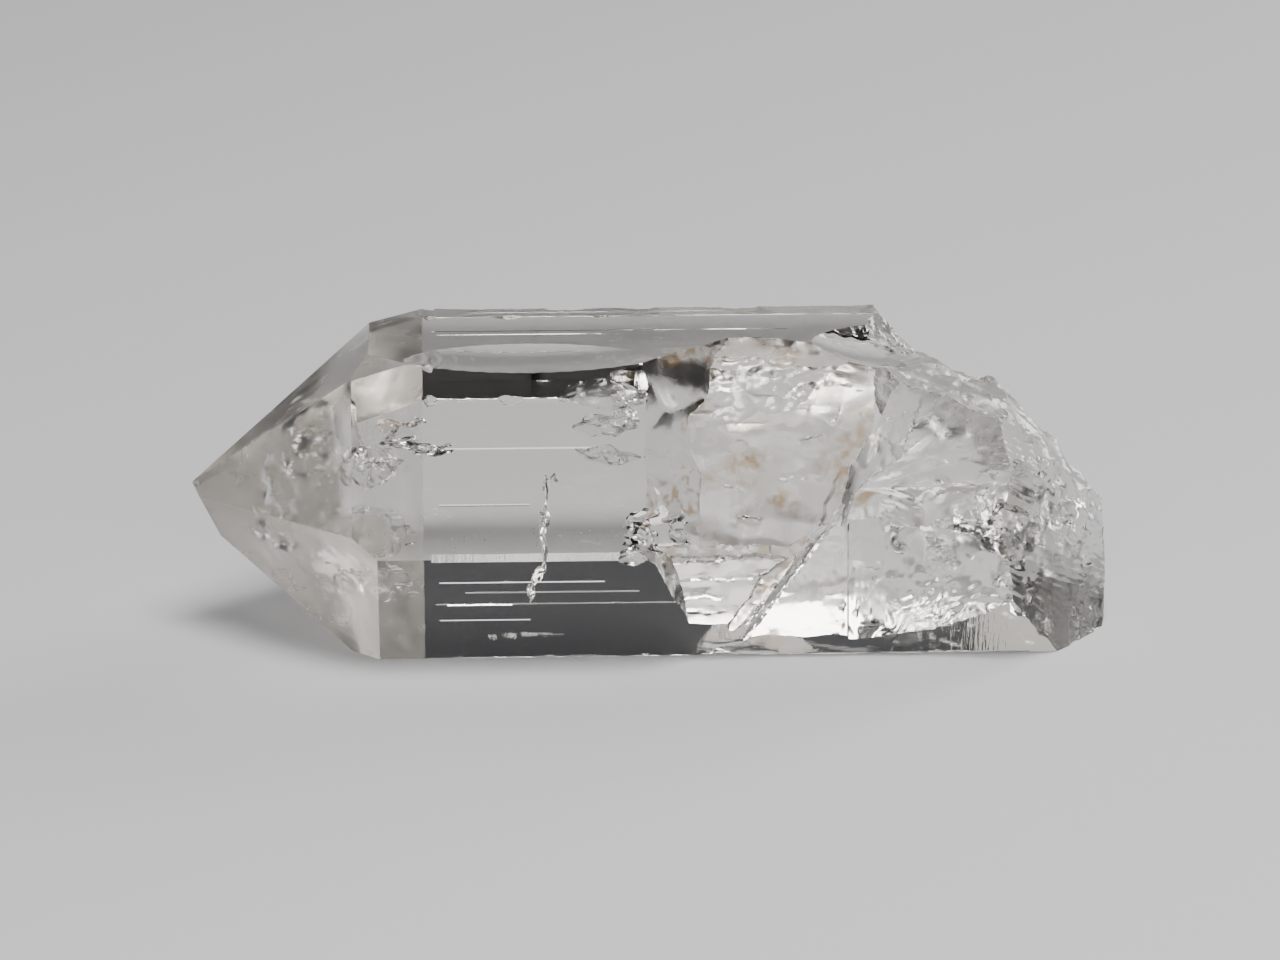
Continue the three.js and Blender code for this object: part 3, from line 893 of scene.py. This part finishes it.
# Bright gaps like leaves beside the hollow: middle, facing, half lengths and swell.
LEAVES = (
    ((16.2, 0.62, 10.42), (0.10, -0.45, 0.89), (1.6, 0.75), 0.16),
    ((16.2, 0.0, 9.46), (-0.12, -0.50, 0.86), (1.2, 0.6), 0.12),
    ((16.1, -0.5, 8.4), (0.20, -0.42, 0.88), (1.2, 0.45), 0.10),
    ((16.9, 0.4, 9.7), (0.35, -0.50, 0.80), (0.6, 0.5), 0.08),
)

# Thin gaps: middle, facing, half lengths and swell.
GAPS = (
    ((5.2, 2.6, 7.9), (-0.30, -0.40, 0.86), (0.9, 0.5), 0.12),
    ((8.6, 1.4, 8.1), (0.15, -0.45, 0.88), (1.1, 0.35), 0.14),
    ((9.4, 2.2, 7.5), (-0.1, -0.40, 0.90), (0.8, 0.3), 0.12),
    ((6.9, 0.9, 7.2), (0.3, -0.75, 0.60), (1.0, 0.5), 0.15),
    ((31.3, 2.0, 4.4), (0.3, -0.5, 0.81), (1.5, 0.9), 0.18),
    ((29.6, 3.5, 8.4), (0.2, -0.5, 0.84), (1.2, 0.7), 0.15),
)

# Clusters of small gaps: middle, spread, how many and half length.
CLUSTERS = (
    ((5.2, 1.2, 8.6), (0.5, 0.5, 0.7), 8, 0.30),
    ((5.6, 0.9, 7.2), (0.4, 0.4, 1.0), 7, 0.22),
    ((6.5, -0.6, 4.2), (1.2, 0.4, 0.4), 9, 0.26),
    ((8.7, 1.5, 8.4), (1.2, 0.6, 0.7), 8, 0.42),
    ((7.4, 3.0, 3.2), (1.2, 0.8, 0.8), 6, 0.30),
    ((2.2, 3.0, 6.6), (0.5, 0.6, 0.7), 5, 0.18),
    ((3.6, 1.6, 4.6), (1.0, 0.3, 0.5), 6, 0.22),
    ((31.9, 4.0, 6.4), (1.0, 0.8, 1.0), 7, 0.30),
    ((21.9, 3.1, 10.5), (1.3, 0.4, 0.15), 12, 0.22),
    ((24.9, 2.6, 10.1), (1.6, 0.3, 0.15), 12, 0.20),
)

# Cracks that have partly healed and look milky: middle, facing, half lengths and swell.
HEALED = (
    ((5.6, 3.6, 7.4), (-0.35, -0.75, 0.55), (1.5, 1.9), 0.35),
    ((4.0, 3.4, 5.6), (-0.6, -0.7, 0.2), (1.2, 1.5), 0.3),
    ((6.6, 2.6, 4.0), (-0.2, -0.9, 0.3), (1.8, 1.0), 0.3),
    ((7.2, 1.4, 7.6), (0.3, -0.55, 0.75), (0.9, 0.5), 0.2),
    ((29.4, 4.6, 4.2), (0.3, -0.8, 0.4), (2.4, 1.8), 0.4),
    ((32.6, 4.6, 3.6), (0.5, -0.7, 0.5), (1.6, 1.6), 0.4),
)


def inner_gaps():
    """The single gaps and the leaves, then the clusters, whose gaps all face roughly up and
    forward, then the healed cracks. The clusters near the point are a little stained."""
    gaps = [crack("gap", *each, GAP_SEED + number) for number, each in enumerate(GAPS)]
    gaps += [crack("leaf", *each, LEAF_SEED + number, frost=0.4)
             for number, each in enumerate(LEAVES)]
    draw = np.random.default_rng(5)
    for middle, spread, count, size in CLUSTERS:
        for number in range(count):
            at = np.array(middle) + np.array(spread) * draw.uniform(-1, 1, 3)
            out = np.array([0.05, -0.62, 0.78]) + 0.28 * draw.normal(size=3)
            length = size * draw.uniform(0.5, 1.2)
            half = (length, length * draw.uniform(0.3, 0.7))
            stain_and_shade = 0.3 if middle[0] < 10 else 0.0
            gaps.append(crack("gap", at, out, half, 0.25 * length, CLUSTER_SEED + number,
                              rings=4, spokes=14, stain_and_shade=stain_and_shade))
    for number, each in enumerate(HEALED):
        gaps.append(crack("healed", *each, HEALED_SEED + number, frost=0.6, rings=12))
    return gaps


# Veils of bubbles: how many, a corner, two sides, their size and the seed of the draw.
VEILS = (
    (220, (4.4, 0.4, 6.4), (3.8, 0.4, 0.3), (0.3, 1.2, 2.8), 0.022, 1),
    (200, (2.4, 2.4, 4.4), (4.6, -0.6, 1.2), (0.2, 1.5, 0.6), 0.022, 2),
    (200, (2.0, 3.0, 6.6), (5.0, -0.4, 1.6), (0.2, 2.0, -0.3), 0.02, 5),
    (150, (9.4, -2.55, 5.25), (8.0, 0, 0), (0, 0.45, 0.75), 0.03, 3),
    (90, (20, 1.0, 2.0), (5, 0.5, 0.3), (0.2, 2.4, 0.8), 0.02, 4),
)


def veil(count, start, side, up, size, seed):
    """Tiny bubbles spread over a slightly wavy four-sided sheet at even random."""
    draw = np.random.default_rng(seed)
    a, b = draw.random(count), draw.random(count)
    swell = 0.25 * clouds(6 * a, 6 * b, 2.0, seed)
    normal = np.cross(side, up)
    normal = normal / np.linalg.norm(normal)
    places = np.array(start) + a[:, None] * np.array(side) + b[:, None] * np.array(up)
    places = places + swell[:, None] * normal
    return bubbles("veil", places, size * (0.5 + draw.random(count) ** 2))


# ---- The finished crystal ----

def broken_crystal():
    """The whole crystal, then worn, then chipped, then broken, and last its flaws."""
    crystal = cut(whole_crystal(), *worn_edges(), *growth_lines())
    crystal = cut(crystal, *[chip(*each) for each in CHIPS], *edge_nicks())
    crystal = cut(crystal, hollow(), scoop_bowl(), scoop_lower(), broken_root())
    cracks = front_crack()
    flaws = joined(*inner_gaps(), *[veil(*each) for each in VEILS])
    return cut(crystal, *cracks, flaws)


def split_faces(mesh):
    """Splits the many-sided faces into triangles, while the mesh is still in millimetres:
    in metres their corners lie too close for a safe split."""
    work = bmesh.new()
    work.from_mesh(mesh)
    bmesh.ops.triangulate(work, faces=work.faces, ngon_method="EAR_CLIP")
    work.to_mesh(mesh)
    work.free()


def finish_mesh(piece):
    """Moves the mesh into the frame in metres, with flat natural faces and smooth broken
    ones whose ridges stay sharp. The masks go from points to corners of faces, so frost and
    the stain, with its painted shade, end where a break does."""
    mesh = piece.data
    split_faces(mesh)
    count = len(mesh.vertices)
    points = np.zeros(count * 3)
    mesh.vertices.foreach_get("co", points)
    points = (points.reshape(-1, 3) - ORIGIN) * MM
    mesh.vertices.foreach_set("co", points.reshape(-1))
    kinds = np.zeros(len(mesh.polygons), np.int32)
    mesh.attributes["kind"].data.foreach_get("value", kinds)
    mesh.update()
    mesh.set_sharp_from_angle(angle=math.radians(RIDGE_ANGLE))
    mesh.polygons.foreach_set("use_smooth", kinds == BROKEN)
    corner_point = np.zeros(len(mesh.loops), np.int32)
    mesh.loops.foreach_get("vertex_index", corner_point)
    sides = np.zeros(len(mesh.polygons), np.int32)
    mesh.polygons.foreach_get("loop_total", sides)
    corner_kind = np.repeat(kinds, sides)
    for mask in ("frost", "stain_and_shade"):
        values = np.zeros(count, np.float32)
        mesh.attributes[mask].data.foreach_get("value", values)
        mesh.attributes.remove(mesh.attributes[mask])
        corner = np.where(corner_kind == BROKEN, values[corner_point], 0.0)
        if mask == "frost":
            corner = np.where(corner_kind == POINT, POINT_FROST, corner)
        made = mesh.attributes.new(mask, "FLOAT", "CORNER")
        made.data.foreach_set("value", corner.astype(np.float32))


# ---- The material ----

QUARTZ_IOR = 1.544
WARM_TINT, TINT_DENSITY = (0.88, 0.862, 0.83, 1), 80.0
# RUST_AND_SHADE is the colour of real rust stains, and on the hollow's ledge and floor also of painted
# shade.
CLEAR, MILKY, RUST_AND_SHADE = (0.985, 0.98, 0.975, 1), (0.97, 0.91, 0.83, 1), (0.42, 0.24, 0.10, 1)

# Roughness where there is no frost, and what full frost adds to it.
POLISH, FULL_FROST = 0.02, 0.8

# Turns a noise that lies between 0.35 and 0.65 into a factor from 0.55 to 1.45.
MOTTLE_SCALE = 900.0
MOTTLE = (("From Min", 0.35), ("From Max", 0.65), ("To Min", 0.55), ("To Max", 1.45))

# Fine lines across the long axis: how often they change along x, y and z in a metre, and
# how strong and deep they are.
LINE_SCALE = (6000.0, 500.0, 500.0)
LINE_STRENGTH, LINE_DEPTH = 0.15, 0.00001


def node(tree, kind, place, **values):
    """Adds a shader node and sets its properties, or its inputs where the name is a socket."""
    made = tree.nodes.new(kind)
    made.location = (200 * place[0], -200 * place[1])
    for name, value in values.items():
        if name in made.inputs:
            made.inputs[name].default_value = value
        else:
            setattr(made, name, value)
    return made


def quartz_material():
    """Clear quartz: plain transmission with a weak warm absorption. Frost makes it rough and
    milky in mottled patches, the stain mask browns it, as real rust and, on the hollow's
    ledge and floor, as painted shade, and faint lines cross its faces."""
    material = bpy.data.materials.new("quartz")
    material.use_nodes = True
    tree = material.node_tree
    tree.nodes.clear()
    link = tree.links.new
    out = node(tree, "ShaderNodeOutputMaterial", (6, 0))
    shell = node(tree, "ShaderNodeBsdfPrincipled", (4, 0), IOR=QUARTZ_IOR, Metallic=0.0)
    shell.inputs["Transmission Weight"].default_value = 1.0
    volume = node(tree, "ShaderNodeVolumeAbsorption", (4, 4), Color=WARM_TINT, Density=TINT_DENSITY)
    link(shell.outputs["BSDF"], out.inputs["Surface"])
    link(volume.outputs["Volume"], out.inputs["Volume"])
    frost = node(tree, "ShaderNodeAttribute", (-6, 0), attribute_name="frost")
    stain_and_shade = node(tree, "ShaderNodeAttribute", (-2, 2), attribute_name="stain_and_shade")
    place = node(tree, "ShaderNodeTexCoord", (-8, 1))
    noise = node(tree, "ShaderNodeTexNoise", (-6, 1), Scale=MOTTLE_SCALE, Detail=4.0)
    link(place.outputs["Object"], noise.inputs["Vector"])
    mottled = node(tree, "ShaderNodeMapRange", (-4, 1))
    for name, value in MOTTLE:
        mottled.inputs[name].default_value = value
    link(noise.outputs["Fac"], mottled.inputs["Value"])
    milky = node(tree, "ShaderNodeMath", (-2, 0), operation="MULTIPLY")
    link(frost.outputs["Fac"], milky.inputs[0])
    link(mottled.outputs["Result"], milky.inputs[1])
    tint = node(tree, "ShaderNodeMix", (-1, 1), data_type="RGBA")
    tint.inputs["A"].default_value = CLEAR
    tint.inputs["B"].default_value = MILKY
    link(milky.outputs[0], tint.inputs["Factor"])
    colour = node(tree, "ShaderNodeMix", (1, 1), data_type="RGBA")
    colour.inputs["B"].default_value = RUST_AND_SHADE
    link(tint.outputs["Result"], colour.inputs["A"])
    link(stain_and_shade.outputs["Fac"], colour.inputs["Factor"])
    link(colour.outputs["Result"], shell.inputs["Base Color"])
    rough = node(tree, "ShaderNodeMath", (1, 0), operation="MULTIPLY_ADD")
    rough.inputs[1].default_value = FULL_FROST
    rough.inputs[2].default_value = POLISH
    link(milky.outputs[0], rough.inputs[0])
    link(rough.outputs[0], shell.inputs["Roughness"])
    lines = node(tree, "ShaderNodeTexNoise", (-2, 4), Scale=1.0, Detail=3.0)
    stretch = node(tree, "ShaderNodeMapping", (-4, 4), Scale=LINE_SCALE)
    link(place.outputs["Object"], stretch.inputs["Vector"])
    link(stretch.outputs["Vector"], lines.inputs["Vector"])
    bump = node(tree, "ShaderNodeBump", (2, 4), Strength=LINE_STRENGTH, Distance=LINE_DEPTH)
    link(lines.outputs["Fac"], bump.inputs["Height"])
    link(bump.outputs["Normal"], shell.inputs["Normal"])
    return material


# ---- The stage ----

# The camera: degrees round from straight in front, degrees up, how far from what it looks
# at, and its lens on a sensor of 36 mm.
AZIMUTH, ELEVATION, DISTANCE = -2, 18, 220
LOOKS_AT = (17.52, AXIS_Y, 6.10)
LENS, SENSOR = 157.2, 36

# The floor's half side in metres, and how far under the crystal it lies in millimetres. On
# the crystal's own lowest face it would fight with that face.
FLOOR_HALF, FLOOR_GAP = 1.5, 0.02
PAPER, PAPER_ROUGHNESS = (0.5, 0.5, 0.51, 1), 0.7
DIM_ROOM = (0.04, 0.041, 0.045, 1)

# Softboxes in the frame's metres: name, place, size, power and colour. All face one place.
LIT = (0, 0, 0.005)
WHITE, WARM = (1, 1, 1), (1, 0.955, 0.88)
SOFTBOXES = (
    ("key", (0.04, -0.11, 0.29), (0.14, 0.14), 1.5, WHITE),
    ("back", (0.28, 0.22, 0.14), (0.2, 0.2), 1.2, WHITE),
    ("panel", (0.28, 0.40, 0.16), (0.5, 0.36), 0.42, WARM),
    ("front", (0.0, -0.30, 0.15), (0.3, 0.08), 0.4, WHITE),
    ("low_card", (0.01, 0.40, 0.035), (0.12, 0.06), 0.045, WHITE),
)


def camera():
    """Looks at the crystal from its front, a little from the left and from above."""
    azimuth, elevation, distance = math.radians(AZIMUTH), math.radians(ELEVATION), DISTANCE * MM
    way = Vector((
        math.sin(azimuth) * math.cos(elevation),
        -math.cos(azimuth) * math.cos(elevation),
        math.sin(elevation),
    ))
    target = Vector((np.array(LOOKS_AT) - ORIGIN) * MM)
    lens = bpy.data.cameras.new("camera")
    lens.sensor_width = SENSOR
    lens.lens = LENS
    lens.clip_start = 0.001
    eye = in_scene("camera", lens)
    eye.location = target + way * distance
    eye.rotation_euler = (-way).to_track_quat("-Z", "Y").to_euler()
    bpy.context.scene.camera = eye


def softbox(name, place, size, power, colour):
    """A flat four-sided light that faces the crystal."""
    light = bpy.data.lights.new(name, "AREA")
    light.shape = "RECTANGLE"
    light.size, light.size_y = size
    light.energy = power
    light.color = colour
    lamp = in_scene(name, light)
    lamp.location = place
    aim = Vector(LIT) - Vector(place)
    lamp.rotation_euler = aim.to_track_quat("-Z", "Y").to_euler()


def pale_paper():
    """A plain matt paper."""
    paper = bpy.data.materials.new("pale_paper")
    paper.use_nodes = True
    shell = paper.node_tree.nodes["Principled BSDF"]
    shell.inputs["Base Color"].default_value = PAPER
    shell.inputs["Roughness"].default_value = PAPER_ROUGHNESS
    return paper


def studio():
    """A paper floor a hair under the crystal, soft lights and a dim room."""
    side, z = FLOOR_HALF, -FLOOR_GAP * MM
    mesh = bpy.data.meshes.new("floor")
    corners = [(-side, -side, z), (side, -side, z), (side, side, z), (-side, side, z)]
    mesh.from_pydata(corners, [], [(0, 1, 2, 3)])
    mesh.materials.append(pale_paper())
    floor = in_scene("floor", mesh)
    world = bpy.data.worlds.new("studio")
    bpy.context.scene.world = world
    world.use_nodes = True
    world.node_tree.nodes["Background"].inputs["Color"].default_value = DIM_ROOM
    for each in SOFTBOXES:
        softbox(*each)


crystal = broken_crystal()
finish_mesh(crystal)
crystal.data.materials.clear()
crystal.data.materials.append(quartz_material())
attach(crystal, "root")
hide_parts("crystal")
camera()
studio()
